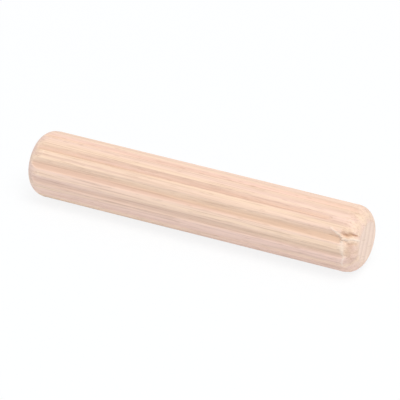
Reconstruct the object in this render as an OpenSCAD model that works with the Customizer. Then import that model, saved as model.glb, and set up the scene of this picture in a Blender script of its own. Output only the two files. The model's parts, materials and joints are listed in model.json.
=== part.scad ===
// Fluted wooden dowel pin, lying on two neighbouring ribs as it comes to rest.
// One turned, pressed and sawn length of wood: straight flutes all round it hold the
// glue and let the air out of the hole, and both ends are rounded so that they start easily.
// Frame: +X along the pin, +Z up, origin on the resting surface below the pin's middle.
// Sizes are in millimetres.

/* [Pin] */
// Diameter over the ribs
pin_d = 8; // [6:0.1:12]
// Length from end to end
pin_l = 42; // [25:1:80]

/* [Flutes] */
// Number of flutes around the pin
flute_count = 12; // [8:1:16]
// Width of a flute's mouth, between the edges of its ribs
flute_w = 0.65; // [0.4:0.05:0.8]
// Depth of a flute, as a share of its width
flute_depth_share = 0.46; // [0.3:0.02:0.5]

/* [Ends] */
// Diameter of the flat sawn end, as a share of the pin's
end_face_share = 0.6; // [0.6:0.01:0.8]
// Length of each rounded end, as a share of the pin's diameter
end_round_share = 0.24; // [0.2:0.01:0.3]

/* [Hidden] */
$fn = 96;

// Radii of the pin and of its flat ends
pin_r = pin_d / 2;
end_face_r = pin_r * end_face_share;

// The shank is the straight length between the two rounded ends
end_round_l = pin_d * end_round_share;
shank_l = pin_l - 2 * end_round_l;

// An arc that leaves the shank smoothly and meets the rim of the flat end
end_drop = pin_r - end_face_r;
end_arc_r = (end_drop * end_drop + end_round_l * end_round_l) / (2 * end_drop);

// A flute's rib edges lie on the pin's surface, this far from the pin's axis along the flute's own radius
flute_mouth = sqrt(pin_r * pin_r - flute_w * flute_w / 4);
flute_depth = flute_w * flute_depth_share;

// A round-bottomed flute: the arc through both rib edges and the deepest point
flute_sag = flute_depth - (pin_r - flute_mouth);
flute_r = (flute_w * flute_w / 4 + flute_sag * flute_sag) / (2 * flute_sag);
flute_axis_r = pin_r - flute_depth + flute_r;

// One flute faces the resting surface, so the pin stands on that flute's two rib edges
rest_h = flute_mouth;

// Cutters run this far past what they cut
clear = 1;

// Half of the pin's lengthwise section, from its axis outwards, upright along Y
module half_section() {
    translate([0, -shank_l / 2]) square([pin_r, shank_l]);
    translate([0, -pin_l / 2]) square([end_face_r, pin_l]);
    for (side = [0, 1])
        mirror([0, side])
            translate([0, shank_l / 2])
                intersection() {
                    translate([pin_r - end_arc_r, 0]) circle(r = end_arc_r);
                    square([pin_r, end_round_l]);
                }
}

// The pin before it is fluted, upright and centred on the origin
module rounded_rod() {
    rotate_extrude() half_section();
}

// Round cutters for all the flutes, the first one towards +X
module flute_cutters() {
    for (i = [0 : flute_count - 1])
        rotate([0, 0, i * 360 / flute_count])
            translate([flute_axis_r, 0, 0])
                cylinder(r = flute_r, h = pin_l + 2 * clear, center = true);
}

module dowel_pin() {
    color("#EBCDB6")
        translate([0, 0, rest_h])
            rotate([0, 90, 0])
                difference() {
                    rounded_rod();
                    flute_cutters();
                }
}

dowel_pin();
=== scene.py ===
"""A fluted beech dowel pin on a pale floor, built around its CAD model."""

import json
import math

import bmesh
import bpy
from bpy.props import FloatProperty, FloatVectorProperty, IntProperty, PointerProperty
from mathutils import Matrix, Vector, noise
from mathutils.geometry import intersect_point_line


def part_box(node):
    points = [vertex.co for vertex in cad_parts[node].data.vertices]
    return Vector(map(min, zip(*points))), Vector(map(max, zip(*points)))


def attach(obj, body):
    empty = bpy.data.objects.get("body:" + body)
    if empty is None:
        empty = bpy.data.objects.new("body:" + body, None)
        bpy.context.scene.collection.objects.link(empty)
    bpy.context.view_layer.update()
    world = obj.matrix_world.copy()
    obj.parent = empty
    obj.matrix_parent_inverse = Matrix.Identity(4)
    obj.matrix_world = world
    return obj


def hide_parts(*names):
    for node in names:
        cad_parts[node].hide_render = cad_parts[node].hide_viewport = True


bl_info = {
    "name": "Fluted Dowel Pin",
    "version": (1, 0, 0),
    "blender": (4, 5, 0),
    "location": "View3D > Sidebar > Dowel Pin",
    "description": "A fluted beech dowel pin, and a pale studio floor to show it on",
    "category": "Add Mesh",
}

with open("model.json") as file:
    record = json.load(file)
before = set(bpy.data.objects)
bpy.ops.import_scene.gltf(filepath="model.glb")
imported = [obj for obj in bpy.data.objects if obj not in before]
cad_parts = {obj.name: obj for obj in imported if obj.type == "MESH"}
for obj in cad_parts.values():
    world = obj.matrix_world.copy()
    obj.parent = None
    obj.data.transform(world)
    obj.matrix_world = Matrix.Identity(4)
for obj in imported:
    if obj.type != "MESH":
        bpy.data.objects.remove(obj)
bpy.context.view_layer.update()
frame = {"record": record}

MM = 0.001
TURN = 2 * math.pi


def mount(name):
    """One of the part's mounts, from its record."""
    return next(m for m in frame["record"]["mounts"] if m["name"] == name)


# The pin lies along X. Its axis is at the height of the shank mount.
pin_low, pin_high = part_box("dowel_pin")
PIN_LENGTH = pin_high.x - pin_low.x
PIN_RADIUS = mount("shank")["dims"]["r_mm"] * MM
SHANK_LENGTH = mount("shank")["dims"]["length_mm"] * MM
AXIS_Z = mount("shank")["pos_m"][2]

# The flat sawn face, as a share of the diameter, and the arc that rounds each end down to it
FACE_RADIUS = 0.6 * PIN_RADIUS
END_LENGTH = (PIN_LENGTH - SHANK_LENGTH) / 2
END_DROP = PIN_RADIUS - FACE_RADIUS
ARC_RADIUS = (END_DROP**2 + END_LENGTH**2) / (2 * END_DROP)
ARC_ANGLE = math.asin(END_LENGTH / ARC_RADIUS)


def linear(hex_colour):
    """Turns an sRGB hex colour into the linear values that Blender's sockets take."""
    channels = [int(hex_colour[i : i + 2], 16) / 255 for i in (1, 3, 5)]
    return tuple(c / 12.92 if c <= 0.04045 else ((c + 0.055) / 1.055) ** 2.4 for c in channels)


class DowelPinSettings(bpy.types.PropertyGroup):
    """Sizes and colours of the pin"""

    flute_count: IntProperty(
        name="Flutes",
        description="Number of flutes around the pin",
        default=12,
        min=8,
        max=16,
    )
    flute_width: FloatProperty(
        name="Flute width",
        description="Width of a flute between its ribs",
        default=0.85 * MM,
        min=0.3 * MM,
        max=1.2 * MM,
        precision=5,
        unit="LENGTH",
    )
    flute_depth: FloatProperty(
        name="Flute depth",
        description="Depth of a flute below its ribs",
        default=0.3 * MM,
        min=0.1 * MM,
        max=0.5 * MM,
        precision=5,
        unit="LENGTH",
    )
    burr_height: FloatProperty(
        name="Burr height",
        description="Height of the fibres that the cutter raised around the start of each rounded end",
        default=0.05 * MM,
        min=0,
        max=0.1 * MM,
        precision=6,
        unit="LENGTH",
    )
    cream_colour: FloatVectorProperty(
        name="Cream wood",
        description="Colour of the palest fibres",
        default=linear("#FCDDC3"),
        min=0,
        max=1,
        size=3,
        subtype="COLOR",
    )
    pink_colour: FloatVectorProperty(
        name="Pink wood",
        description="Colour of the pinker fibres",
        default=linear("#F7D5C6"),
        min=0,
        max=1,
        size=3,
        subtype="COLOR",
    )
    # Late wood also paints the flutes darker: the press's rubbing, with painted shade in the grooves
    late_colour: FloatVectorProperty(
        name="Late wood",
        description="Colour of the darker fibres, growth rings, rays, pores and pressed wood",
        default=linear("#C8A38C"),
        min=0,
        max=1,
        size=3,
        subtype="COLOR",
    )
    end_colour: FloatVectorProperty(
        name="End grain",
        description="Colour of the wood where it is cut across",
        default=linear("#FDE2D0"),
        min=0,
        max=1,
        size=3,
        subtype="COLOR",
    )


class DowelStageSettings(bpy.types.PropertyGroup):
    """Colour of the floor, and where the camera stands"""

    floor_colour: FloatVectorProperty(
        name="Floor",
        description="Colour of the floor",
        default=linear("#F4F9FF"),
        min=0,
        max=1,
        size=3,
        subtype="COLOR",
    )
    camera_azimuth: FloatProperty(
        name="Azimuth",
        description="How far the camera stands round towards the pin's right end",
        default=math.radians(25.5),
        subtype="ANGLE",
        unit="ROTATION",
    )
    camera_elevation: FloatProperty(
        name="Elevation",
        description="How far the camera stands above the floor",
        default=math.radians(31.3),
        subtype="ANGLE",
        unit="ROTATION",
    )
    camera_distance: FloatProperty(
        name="Distance",
        description="From the camera to the pin's middle",
        default=0.5,
        min=0.1,
        unit="LENGTH",
    )


# Rings of the mesh lie this far apart along the shank, and closer over its last stretch and the ends
SHANK_RING = 0.28 * MM
NEAR_END_RING = 0.11 * MM
NEAR_END = 1.7 * MM
# Steps of the mesh around the pin, from one flute to the next
FLUTE_STEPS = 28

# The grain runs a little aslant of the pin. The growth rings curve about the pith, at this Y and Z in mm
# from the pin's axis, and the rays point to it
GRAIN_SLOPE = math.radians(0.8)
PITH = (-16, 8)
RAY_TURN = math.atan2(*PITH)
RING_SPACING = 1.3

# Two points closer than this are at the same place
TOUCHING = 0.001 * MM


# ---- the pin's mesh


def rounded_rod(bm, segments):
    """Half the pin's lengthwise section, drawn with arcs and spun about the axis. Its end faces are open."""
    vert = bm.verts.new((-PIN_LENGTH / 2, 0, AXIS_Z + FACE_RADIUS))
    vert = end_arc(bm, vert, -SHANK_LENGTH / 2)
    vert = shank_stretch(bm, vert, NEAR_END)
    vert = shank_stretch(bm, vert, SHANK_LENGTH - 2 * NEAR_END)
    vert = shank_stretch(bm, vert, NEAR_END)
    end_arc(bm, vert, SHANK_LENGTH / 2)
    long_edges = [edge for edge in bm.edges if edge.calc_length() > 2 * NEAR_END_RING]
    for edge in long_edges:
        ring = SHANK_RING if edge.calc_length() > 2 * NEAR_END else NEAR_END_RING
        bmesh.ops.subdivide_edges(bm, edges=[edge], cuts=round(edge.calc_length() / ring) - 1)
    bmesh.ops.spin(
        bm,
        geom=bm.verts[:] + bm.edges[:],
        cent=(0, 0, AXIS_Z),
        axis=(1, 0, 0),
        angle=TURN,
        steps=segments,
        use_merge=True,
    )


def shank_stretch(bm, vert, length):
    """Draws a straight length of the section from a vertex, and returns the vertex at its far end."""
    stretch = bmesh.ops.extrude_vert_indiv(bm, verts=[vert])
    bmesh.ops.translate(bm, verts=stretch["verts"], vec=(length, 0, 0))
    return stretch["verts"][0]


def end_arc(bm, vert, shank_end):
    """Sweeps a vertex along the rounding of one end, and returns the vertex that it stops at."""
    arc = bmesh.ops.spin(
        bm,
        geom=[vert],
        cent=(shank_end, 0, AXIS_Z + PIN_RADIUS - ARC_RADIUS),
        axis=(0, 1, 0),
        angle=ARC_ANGLE,
        steps=round(ARC_RADIUS * ARC_ANGLE / NEAR_END_RING),
    )
    return next(g for g in arc["geom_last"] if isinstance(g, bmesh.types.BMVert))


def sawn_face(bm, side, segments):
    """A flat end: a square grid pressed out to a disc, so that its edge meets the rod's own vertices."""
    grid = bmesh.ops.create_grid(bm, x_segments=segments // 4, y_segments=segments // 4, size=1)
    for vert in grid["verts"]:
        across, up = vert.co.x, vert.co.y
        reach = max(abs(across), abs(up))
        if reach == 0:
            angle = 0
        elif abs(across) >= abs(up):
            angle = TURN / 8 * up / across + (TURN / 2 if across < 0 else 0)
        else:
            angle = TURN / 4 - TURN / 8 * across / up + (TURN / 2 if up < 0 else 0)
        vert.co = (
            side * PIN_LENGTH / 2,
            FACE_RADIUS * reach * math.cos(angle),
            AXIS_Z + FACE_RADIUS * reach * math.sin(angle),
        )


def soft_min(a, b, blend):
    """The smaller of two lengths, with the corner between them rounded over about blend."""
    overlap = max(blend - abs(a - b), 0) / blend
    return min(a, b) - overlap * overlap * blend / 4


def smooth_step(low, high, value):
    """0 below low, 1 above high, and an S-curve between them."""
    share = max(0, min(1, (value - low) / (high - low)))
    return share * share * (3 - 2 * share)


def relief(x, y, z, along, across):
    """Smooth noise from 0 to 1, in cells of that many mm along and across the grain."""
    return (1 + noise.noise(Vector((x / along, y / across, z / across)))) / 2


# Flutes are counted from the lowest. One is pressed deeper and wider, the next one down is wide but
# shallow, and the one below that is shallower still: these are shares of the usual depth and width
DEEP_FLUTE = 4
FLUTE_SHARES = {DEEP_FLUTE - 2: (0.4, 0.9), DEEP_FLUTE - 1: (0.75, 1.3), DEEP_FLUTE: (1.3, 1.6)}
# The flute above the deep one runs out over this stretch near the shank's right end, in mm past that end
RUN_OUT = (-2.4, -0.9)
# Each flute is painted darkest this many mm to one side of its middle: painted shade in the groove, over the
# press's darker rubbing
PAINTED_SHADE_SIDE = 0.26
# Each flute wanders this many mm to the side over its length, and its depth and width vary by these shares
WANDER = 0.03
DEPTH_VARIES = 0.14
WIDTH_VARIES = 0.1


def bowl(across, half):
    """A flute's cross-section, from 0 at its edges to 1 at its middle."""
    return max(0, 1 - abs(across / half) ** 1.5) ** 0.75


def flute_floor(x, angle, settings):
    """Distance in mm from the axis to the pressed surface of the nearest flute, how deep that is in mm, and
    how dark it is painted, from 0 to about 1: the press's darker rubbing, with painted shade in the groove."""
    pitch = TURN / settings.flute_count
    number = round(angle / pitch)
    seed = number % settings.flute_count
    # Slow noise along the pin, with a stretch of its own for each flute and each measure
    wander = WANDER * noise.noise(Vector((x / 9, seed * 7.3, 1.7)))
    across = (angle - number * pitch) * PIN_RADIUS / MM + wander
    depth = settings.flute_depth / MM * (1 + DEPTH_VARIES * noise.noise(Vector((x / 12, seed * 5.1, 8.2))))
    half = settings.flute_width / MM / 2 * (1 + WIDTH_VARIES * noise.noise(Vector((x / 12, seed * 3.7, 4.6))))
    depth_share, width_share = FLUTE_SHARES.get(number, (1, 1))
    depth *= depth_share
    half *= width_share
    if number == DEEP_FLUTE + 1:
        depth *= 1 - smooth_step(*RUN_OUT, x - SHANK_LENGTH / 2 / MM)
    # The flute's painted darkening, the press's rubbing with painted shade in the groove, grows with its
    # depth
    deepest = FLUTE_SHARES[DEEP_FLUTE][0] * settings.flute_depth / MM
    rub_and_shade = depth * bowl(across + PAINTED_SHADE_SIDE, half) / deepest
    depth *= bowl(across, half)
    return PIN_RADIUS / MM - depth, depth, rub_and_shade


# The wood tore at the deep flute's right end. Each stroke runs from one point to another, in mm past the
# shank's end and mm around the pin from the flute's middle. It has a half width and a rise in mm, and a
# tone: about -1 for a hollow, painted dark as shade, and about 1 for pale fresh wood
TORN_PLACE = (
    ((0.4, -0.05), (-1.2, 0.85), 0.4, 0.13, 0.8),
    ((0.35, -0.15), (1.9, 0.15), 0.42, 0.2, 1.1),
    ((0.4, -0.1), (0.5, -3.6), 0.55, 0.08, 0.8),
    ((0.45, 0.52), (1.6, 0.8), 0.5, -0.28, -0.95),
    ((0.9, -0.6), (1.8, -0.45), 0.25, -0.08, -0.4),
    ((-0.3, -0.05), (-1.5, 0.0), 0.3, -0.04, -0.2),
    ((1.35, -0.9), (1.3, -3.8), 1.1, -0.02, -0.5),
)
# The torn place lies between these two corners, measured as the strokes are
TORN_LOW = Vector((-1.7, -4.2))
TORN_HIGH = Vector((2.3, 1.9))


def torn_place(vert, settings):
    """A point's place in the torn place's own mm, or None if it lies outside."""
    angle = math.atan2(-vert.co.y, AXIS_Z - vert.co.z) - DEEP_FLUTE * TURN / settings.flute_count
    place = Vector((vert.co.x - SHANK_LENGTH / 2, angle * PIN_RADIUS)) / MM
    inside = TORN_LOW.x < place.x < TORN_HIGH.x and TORN_LOW.y < place.y < TORN_HIGH.y
    return place if inside else None


def torn_fibres(place):
    """Rise in mm and tone of the torn place at one point of it. Its strokes have sharp crests and pointed
    ends, and are split up by the fibres."""
    point = place.copy()
    point.x += 0.35 * noise.noise(Vector((place.x / 0.8, place.y / 0.7, 5.2)))
    point.y += 0.1 * noise.noise(Vector((place.x / 0.5, place.y / 0.3, 3.3)))
    fibres = noise.noise(Vector((place.x / 0.9, place.y / 0.1, 6.1)))
    height = 0
    tone = 0
    for start, end, half_width, rise, stroke_tone in TORN_PLACE:
        start, end = Vector(start), Vector(end)
        along = max(0, min(1, intersect_point_line(point, start, end)[1]))
        distance = (point - start.lerp(end, along)).length
        amount = max(0, 1 - distance / (half_width * (1 - 0.5 * along)) + 0.45 * fibres)
        height += rise * amount
        tone += stroke_tone * amount
    return height, max(-1, min(1, tone))


def refine_torn_place(bm, settings):
    """Splits the mesh once more where the torn place lies, to make room for its small ridges."""
    inside = {vert for vert in bm.verts if torn_place(vert, settings)}
    edges = [edge for edge in bm.edges if edge.verts[0] in inside and edge.verts[1] in inside]
    bmesh.ops.subdivide_edges(bm, edges=edges, cuts=1, use_grid_fill=True)


def sharpen_rims(bm):
    """Marks the edge around each flat end as sharp."""
    for edge in bm.edges:
        if all(abs(math.hypot(v.co.y, v.co.z - AXIS_Z) - FACE_RADIUS) < TOUCHING for v in edge.verts):
            edge.smooth = False


# Depths in mm of the saw's scratches and of the soft spots on the flat end faces
SCRATCH_DEPTH = 0.008
SPOT_DEPTH = 0.03


def sink_face(vert, y, z, side):
    """Lowers a point of the flat end face by the saw's fine scratches and the wood's softer spots."""
    from_rim = FACE_RADIUS / MM - math.hypot(y, z)
    scratch = noise.noise(Vector((y / 2.5, (z + 0.4 * y) / 0.14, 5 * side)))
    spot = noise.noise(Vector((y / 0.3, z / 0.3, 9 * side)))
    sink = SCRATCH_DEPTH * (1 + scratch) + SPOT_DEPTH * max(spot - 0.25, 0)
    vert.co.x = side * (PIN_LENGTH / 2 - sink * smooth_step(0, 0.12, from_rim) * MM)


# How deep the surface dips, and how far apart the dips are along and across the grain, in mm: between the
# fibres, in slow waves, and where the cutter tore the rounded ends
FIBRE_DIPS = (0.012, 9, 0.25)
WAVE_DIPS = (0.02, 14, 2.5)
CUTTER_DIPS = (0.03, 0.3, 1.3)
# The edges of the flutes are rounded over about this many mm
LIP = 0.05
# The burrs stand this many mm past the shank's end, fade out over this many more, and have this tone
BURR_PLACE = -0.05
BURR_SPREAD = 0.1
BURR_TONE = 0.6
# How far the wood counts as cut across at the end of the rounding, where the sawn face counts as 1
ROUNDING_CUT = 0.3


def dip(x, y, z, depth, along, across):
    """How far in mm the surface lies below its crests, for dips of that depth and size."""
    return depth * relief(x, y, z, along, across)


def press_and_wear(bm, settings):
    """Presses the flutes into the plain rod, and gives the wood its burrs, tears and raised fibres."""
    flute_rub_and_shade_layer = bm.verts.layers.float.new("flute")
    end_layer = bm.verts.layers.float.new("end_cut")
    torn_tone_and_shade_layer = bm.verts.layers.float.new("torn")
    half_length = PIN_LENGTH / 2
    half_shank = SHANK_LENGTH / 2
    burr_height = settings.burr_height / MM
    # The surface is lowered by the burrs' height, so that only they stand up. The sawn faces shrink too
    face_scale = 1 - burr_height / (FACE_RADIUS / MM)
    for vert in bm.verts:
        side = math.copysign(1, vert.co.x)
        y = vert.co.y / MM
        z = (vert.co.z - AXIS_Z) / MM
        radius = math.hypot(y, z)
        if abs(vert.co.x) > half_length - TOUCHING:
            vert.co.x = side * half_length
            if radius < (FACE_RADIUS - TOUCHING) / MM:
                sink_face(vert, y, z, side)
                vert.co.y *= face_scale
                vert.co.z = AXIS_Z + (vert.co.z - AXIS_Z) * face_scale
                vert[end_layer] = 1
                continue
        x = vert.co.x / MM
        past_shank = abs(x) - half_shank / MM
        angle = math.atan2(-y, -z)
        floor, depth, rub_and_shade = flute_floor(x, angle, settings)
        milled = smooth_step(0, 0.3, past_shank)
        burr = math.exp(-((past_shank - BURR_PLACE) / BURR_SPREAD) ** 2) * relief(x, y, z, 3, 0.7)
        burr *= 1 - smooth_step(0, 0.2, depth)
        place = torn_place(vert, settings)
        torn, tone = torn_fibres(place) if place else (0, 0)
        lower = dip(x, y, z, *FIBRE_DIPS) + dip(x, y, z, *WAVE_DIPS) + dip(x, y, z, *CUTTER_DIPS) * milled
        # The rim of the sawn face stays a true circle
        lower *= smooth_step(0, 0.5, radius - FACE_RADIUS / MM)
        torn *= smooth_step(0, 0.2, radius - FACE_RADIUS / MM)
        lower += burr_height * (1 - burr)
        new_radius = soft_min(radius, floor, LIP) - lower + torn
        new_radius = min(new_radius, PIN_RADIUS / MM)
        vert.co.y = y * new_radius / radius * MM
        vert.co.z = AXIS_Z + z * new_radius / radius * MM
        # Painted shade in the flute, with the press's darker rubbing
        vert[flute_rub_and_shade_layer] = rub_and_shade * smooth_step(0, 0.15, radius - floor)
        vert[end_layer] = ROUNDING_CUT * smooth_step(0, END_LENGTH / MM, past_shank)
        # Pale torn and burred fibres, or painted shade in the torn hollows
        vert[torn_tone_and_shade_layer] = max(tone, BURR_TONE * burr) if tone >= 0 else tone
    lowest = min(vert.co.z for vert in bm.verts)
    bmesh.ops.translate(bm, verts=bm.verts, vec=(0, 0, pin_low.z - lowest))


# ---- materials


def add_node(tree, kind, inputs=None, **settings):
    """Adds a node. Settings are its own properties, and inputs maps a socket to a value, or to the socket
    that it is linked from."""
    node = tree.nodes.new(kind)
    for name, value in settings.items():
        setattr(node, name, value)
    for key, value in (inputs or {}).items():
        if isinstance(value, bpy.types.NodeSocket):
            tree.links.new(value, node.inputs[key])
        else:
            node.inputs[key].default_value = value
    return node


# Sockets of a colour Mix node
FACTOR, FIRST, SECOND, MIXED = 0, 6, 7, 2

# Where the wood tore: its raised fibres, and the painted shade in its hollows
FRESH_WOOD = "#FFEEDF"
HOLLOW_SHADE = "#B98A66"


def beech(settings):
    """Bare European beech, turned, fluted by pressing and left unfinished: pale, faintly pink and matt.
    The grain is so fine that it reads as even lengthwise streaks, with short darker dashes where the
    rays and the open pores come to the surface."""
    material = bpy.data.materials.new("beech_turned_and_pressed")
    material.use_nodes = True
    tree = material.node_tree
    shader = tree.nodes["Principled BSDF"]
    place = add_node(tree, "ShaderNodeTexCoord").outputs["Object"]

    def cells(along, across, deep=None, turn=0.0):
        """Object coordinates in cells of that many mm along X and, after a turn about X, across and deep."""
        turned = add_node(
            tree, "ShaderNodeMapping", {"Vector": place, "Rotation": (turn, 0, GRAIN_SLOPE)}
        )
        scale = (1 / (along * MM), 1 / (across * MM), 1 / ((deep or across) * MM))
        return add_node(
            tree, "ShaderNodeVectorMath", {0: turned.outputs[0], 1: scale}, operation="MULTIPLY"
        ).outputs[0]

    def blend(factor, first, second):
        """A colour Mix node's result."""
        inputs = {FACTOR: factor, FIRST: first, SECOND: second}
        return add_node(tree, "ShaderNodeMix", inputs, data_type="RGBA").outputs[MIXED]

    def between(value, low, high, to_low=0.0, to_high=1.0):
        """A value brought from one range to another, and held there."""
        inputs = {"Value": value, "From Min": low, "From Max": high, "To Min": to_low, "To Max": to_high}
        return add_node(tree, "ShaderNodeMapRange", inputs, interpolation_type="SMOOTHSTEP").outputs[0]

    # Broad bands of cream and pink wood, about 1 mm wide and many long
    bands = add_node(tree, "ShaderNodeTexNoise", {"Vector": cells(60, 1.1), "Scale": 1, "Detail": 2})
    wood = blend(
        between(bands.outputs[0], 0.35, 0.65), (*settings.cream_colour, 1), (*settings.pink_colour, 1)
    )

    # Fibres: drawn 0.3 mm and 0.12 mm wide, because real ones, at 0.02 mm, are too fine to show
    fibres = add_node(
        tree, "ShaderNodeTexNoise", {"Vector": cells(35, 0.3), "Scale": 1, "Detail": 4, "Roughness": 0.6}
    )
    wood = blend(between(fibres.outputs[0], 0.45, 0.75, 0, 0.42), wood, (*settings.late_colour, 1))
    lines = add_node(tree, "ShaderNodeTexNoise", {"Vector": cells(12, 0.12), "Scale": 1, "Detail": 1})
    wood = blend(between(lines.outputs[0], 0.58, 0.7, 0, 0.42), wood, (*settings.late_colour, 1))

    # Wood cut across is paler: fully on the sawn face, and in part on the rounding up to it
    end_cut = add_node(tree, "ShaderNodeAttribute", attribute_name="end_cut").outputs["Fac"]
    flute = add_node(tree, "ShaderNodeAttribute", attribute_name="flute").outputs["Fac"]
    torn = add_node(tree, "ShaderNodeAttribute", attribute_name="torn").outputs["Fac"]
    wood = blend(between(end_cut, 0, 1, 0, 0.75), wood, (*settings.end_colour, 1))

    # Growth rings, which hardly change along the log. In beech each ends in a soft darker line
    from_pith = add_node(
        tree,
        "ShaderNodeVectorMath",
        {0: cells(2000, 1), 1: (0, PITH[0], PITH[1] + AXIS_Z / MM)},
        operation="DISTANCE",
    ).outputs["Value"]
    wobble = add_node(tree, "ShaderNodeTexNoise", {"Vector": cells(60, 6), "Scale": 1, "Detail": 1})
    ring = add_node(
        tree,
        "ShaderNodeMath",
        {0: from_pith, 1: 1 / RING_SPACING, 2: wobble.outputs[0]},
        operation="MULTIPLY_ADD",
    )
    ring = add_node(tree, "ShaderNodeMath", {0: ring.outputs[0]}, operation="FRACT").outputs[0]
    late = add_node(
        tree,
        "ShaderNodeMath",
        {0: between(ring, 0.3, 0.8), 1: between(ring, 0.85, 1.0, 1, 0)},
        operation="MULTIPLY",
    ).outputs[0]
    late = add_node(
        tree,
        "ShaderNodeMath",
        {0: late, 1: between(end_cut, ROUNDING_CUT, 1, 0.12, 0.22)},
        operation="MULTIPLY",
    ).outputs[0]
    wood = blend(late, wood, (*settings.late_colour, 1))

    # Rays: thin sheets that run out from the pith, seen as short dashes or as lines on the end grain
    rays = add_node(
        tree, "ShaderNodeTexVoronoi", {"Vector": cells(2.2, 0.3, 4, RAY_TURN), "Scale": 1}
    ).outputs["Distance"]
    ray = add_node(
        tree,
        "ShaderNodeMath",
        {0: between(rays, 0.1, 0.24, 1, 0), 1: between(end_cut, ROUNDING_CUT, 1, 0.28, 0.3)},
        operation="MULTIPLY",
    ).outputs[0]
    wood = blend(ray, wood, (*settings.late_colour, 1))

    # Pores: dots up to 0.1 mm across on the end grain, and scratches up to 2 mm long on the sides
    pores = add_node(
        tree, "ShaderNodeTexVoronoi", {"Vector": cells(3.5, 0.17), "Scale": 1}
    ).outputs["Distance"]
    pore = between(pores, 0.08, 0.34, 1, 0)
    pore_share = add_node(
        tree,
        "ShaderNodeMath",
        {0: pore, 1: between(end_cut, ROUNDING_CUT, 1, 0.22, 0.24)},
        operation="MULTIPLY",
    ).outputs[0]
    wood = blend(pore_share, wood, (*settings.late_colour, 1))

    # The flutes are painted darker: partly the press's rubbing, partly painted shade in the grooves. Torn
    # wood is pale where it stands up, and its hollows are painted dark as shade
    wood = blend(between(flute, 0, 1, 0, 0.44), wood, (*settings.late_colour, 1))
    wood = blend(between(torn, 0, 1, 0, 0.5), wood, (*linear(FRESH_WOOD), 1))
    wood = blend(between(torn, -1, 0, 0.6, 0), wood, (*linear(HOLLOW_SHADE), 1))

    height = add_node(
        tree, "ShaderNodeMath", {0: fibres.outputs[0], 1: pore}, operation="SUBTRACT"
    ).outputs[0]
    bump = add_node(
        tree, "ShaderNodeBump", {"Height": height, "Strength": 1, "Distance": 0.015 * MM}
    )
    tree.links.new(wood, shader.inputs["Base Color"])
    tree.links.new(bump.outputs[0], shader.inputs["Normal"])
    shader.inputs["Roughness"].default_value = 0.68
    shader.inputs["IOR"].default_value = 1.5
    shader.inputs["Specular IOR Level"].default_value = 0.3
    return material


# Near the pin the camera sees the board with this share of plain white over it. It grows to all white
# between these distances from the pin's middle, in metres
NEAR_WHITE = 0.85
FADE_FROM = 0.03
FADE_TO = 0.12


def white_board(colour):
    """Matt white board: even, with no gloss. The camera sees most of it as plain white, and all of it away
    from the pin, which keeps the background clean and the shadow faint."""
    material = bpy.data.materials.new("matt_white_board")
    material.use_nodes = True
    tree = material.node_tree
    board = tree.nodes["Principled BSDF"]
    board.inputs["Base Color"].default_value = (*colour, 1)
    board.inputs["Roughness"].default_value = 1
    board.inputs["Specular IOR Level"].default_value = 0
    plain = add_node(tree, "ShaderNodeEmission", {"Color": (1, 1, 1, 1), "Strength": 1})
    path = add_node(tree, "ShaderNodeLightPath")
    place = add_node(tree, "ShaderNodeTexCoord").outputs["Object"]
    from_pin = add_node(tree, "ShaderNodeVectorMath", {0: place}, operation="LENGTH").outputs["Value"]
    fade = {"Value": from_pin, "From Min": FADE_FROM, "From Max": FADE_TO, "To Min": NEAR_WHITE, "To Max": 1}
    clean = add_node(tree, "ShaderNodeMapRange", fade, interpolation_type="SMOOTHSTEP").outputs[0]
    share = add_node(
        tree, "ShaderNodeMath", {0: path.outputs["Is Camera Ray"], 1: clean}, operation="MULTIPLY"
    )
    mix = add_node(
        tree, "ShaderNodeMixShader", {0: share.outputs[0], 1: board.outputs[0], 2: plain.outputs[0]}
    )
    tree.links.new(mix.outputs[0], tree.nodes["Material Output"].inputs["Surface"])
    return material


# ---- operators


def mesh_object(name, bm, material):
    """Ends a bmesh as a smooth-shaded object at the origin, with its place in its mesh."""
    for face in bm.faces:
        face.smooth = True
    mesh = bpy.data.meshes.new(name)
    bm.to_mesh(mesh)
    bm.free()
    mesh.materials.append(material)
    piece = bpy.data.objects.new(name, mesh)
    bpy.context.scene.collection.objects.link(piece)
    return piece


class DOWEL_OT_add_pin(bpy.types.Operator):
    """Add the fluted beech pin in the place of its CAD model"""

    bl_idname = "dowel.add_pin"
    bl_label = "Add Dowel Pin"

    def execute(self, context):
        settings = context.scene.dowel_pin
        segments = settings.flute_count * FLUTE_STEPS
        bm = bmesh.new()
        rounded_rod(bm, segments)
        sawn_face(bm, -1, segments)
        sawn_face(bm, 1, segments)
        bmesh.ops.remove_doubles(bm, verts=bm.verts, dist=0.005 * MM)
        bmesh.ops.recalc_face_normals(bm, faces=bm.faces)
        refine_torn_place(bm, settings)
        sharpen_rims(bm)
        press_and_wear(bm, settings)
        pin = mesh_object("dowel_pin_wood", bm, beech(settings))
        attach(pin, "root")
        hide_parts("dowel_pin")
        return {"FINISHED"}


class DOWEL_OT_add_stage(bpy.types.Operator):
    """Add the floor, the lamp and the camera"""

    bl_idname = "dowel.add_stage"
    bl_label = "Add Stage"

    def execute(self, context):
        settings = context.scene.dowel_stage
        add_floor(settings)
        add_light(context.scene)
        add_camera(context.scene, settings)
        return {"FINISHED"}


# The floor reaches this many metres from the pin to each side
FLOOR_REACH = 0.8

# The lamp's side and its distance from the pin in metres, its place as seen from there and its power in
# watts, and the strength and colour of the room's own light
LAMP_SIZE = 0.4
LAMP_DISTANCE = 0.7
LAMP_AZIMUTH = math.radians(56)
LAMP_ELEVATION = math.radians(68.5)
LAMP_POWER = 2.65
LAMP_COLOUR = "#FFF8E9"
ROOM_STRENGTH = 0.68
ROOM_COLOUR = "#EEF6FF"

# A lens this long in mm, on a sensor this wide, holds the whole pin with some floor around it
LENS = 390
SENSOR_WIDTH = 36


def add_floor(settings):
    """A wide plain floor for the pin to rest on."""
    bm = bmesh.new()
    bmesh.ops.create_grid(bm, x_segments=1, y_segments=1, size=FLOOR_REACH)
    floor = mesh_object("floor", bm, white_board(settings.floor_colour))


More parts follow.
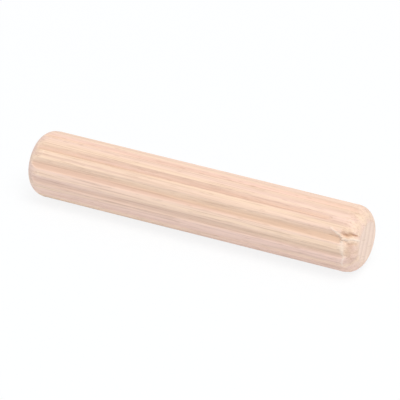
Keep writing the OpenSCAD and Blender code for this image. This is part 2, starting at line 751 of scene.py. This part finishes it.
def add_light(scene):
    """A soft lamp above the pin, and a white room that fills the shadows."""
    lamp = bpy.data.lights.new("softbox", "AREA")
    lamp.shape = "RECTANGLE"
    lamp.size = LAMP_SIZE
    lamp.size_y = LAMP_SIZE
    lamp.energy = LAMP_POWER
    lamp.color = linear(LAMP_COLOUR)
    softbox = bpy.data.objects.new("softbox", lamp)
    softbox.location = LAMP_DISTANCE * toward(LAMP_AZIMUTH, LAMP_ELEVATION)
    softbox.rotation_euler = softbox.location.to_track_quat("Z", "Y").to_euler()
    scene.collection.objects.link(softbox)

    world = bpy.data.worlds.new("white_room")
    world.use_nodes = True
    scene.world = world
    tree = world.node_tree
    fill = tree.nodes["Background"]
    fill.inputs["Color"].default_value = (*linear(ROOM_COLOUR), 1)
    fill.inputs["Strength"].default_value = ROOM_STRENGTH
    seen = add_node(tree, "ShaderNodeBackground", {"Color": (1, 1, 1, 1), "Strength": 1})
    path = add_node(tree, "ShaderNodeLightPath")
    mirrored = add_node(
        tree,
        "ShaderNodeMath",
        {0: path.outputs["Is Glossy Ray"], 1: path.outputs["Is Transmission Ray"]},
        operation="MAXIMUM",
    )
    bright = add_node(
        tree,
        "ShaderNodeMath",
        {0: path.outputs["Is Camera Ray"], 1: mirrored.outputs[0]},
        operation="MAXIMUM",
    )
    mix = add_node(
        tree, "ShaderNodeMixShader", {0: bright.outputs[0], 1: fill.outputs[0], 2: seen.outputs[0]}
    )
    tree.links.new(mix.outputs[0], tree.nodes["World Output"].inputs["Surface"])
    scene.view_settings.view_transform = "Standard"


def toward(azimuth, elevation):
    """The direction from the pin to a camera or lamp at those angles. From azimuth 0 it looks along +Y."""
    level = math.cos(elevation)
    return Vector((math.sin(azimuth) * level, -math.cos(azimuth) * level, math.sin(elevation)))


def add_camera(scene, settings):
    """A long lens that looks down on the pin, past its right end."""
    back = toward(settings.camera_azimuth, settings.camera_elevation)
    lens = bpy.data.cameras.new("camera")
    lens.sensor_width = SENSOR_WIDTH
    lens.lens = LENS
    camera = bpy.data.objects.new("camera", lens)
    camera.location = Vector((0, 0, AXIS_Z)) + back * settings.camera_distance
    camera.rotation_euler = back.to_track_quat("Z", "Y").to_euler()
    scene.collection.objects.link(camera)
    scene.camera = camera


class DOWEL_PT_panel(bpy.types.Panel):
    """Dowel pin settings in the sidebar"""

    bl_label = "Dowel Pin"
    bl_idname = "DOWEL_PT_panel"
    bl_space_type = "VIEW_3D"
    bl_region_type = "UI"
    bl_category = "Dowel Pin"

    def draw(self, context):
        layout = self.layout
        for group, operator in (
            (context.scene.dowel_pin, DOWEL_OT_add_pin),
            (context.scene.dowel_stage, DOWEL_OT_add_stage),
        ):
            box = layout.box()
            for name in group.bl_rna.properties.keys():
                if name not in ("rna_type", "name"):
                    box.prop(group, name)
            box.operator(operator.bl_idname)


CLASSES = (
    DowelPinSettings,
    DowelStageSettings,
    DOWEL_OT_add_pin,
    DOWEL_OT_add_stage,
    DOWEL_PT_panel,
)


def register():
    for cls in CLASSES:
        bpy.utils.register_class(cls)
    bpy.types.Scene.dowel_pin = PointerProperty(type=DowelPinSettings)
    bpy.types.Scene.dowel_stage = PointerProperty(type=DowelStageSettings)


def unregister():
    del bpy.types.Scene.dowel_stage
    del bpy.types.Scene.dowel_pin
    for cls in reversed(CLASSES):
        bpy.utils.unregister_class(cls)


def main():
    register()
    bpy.ops.dowel.add_stage()
    bpy.ops.dowel.add_pin()


if __name__ == "__main__":
    main()
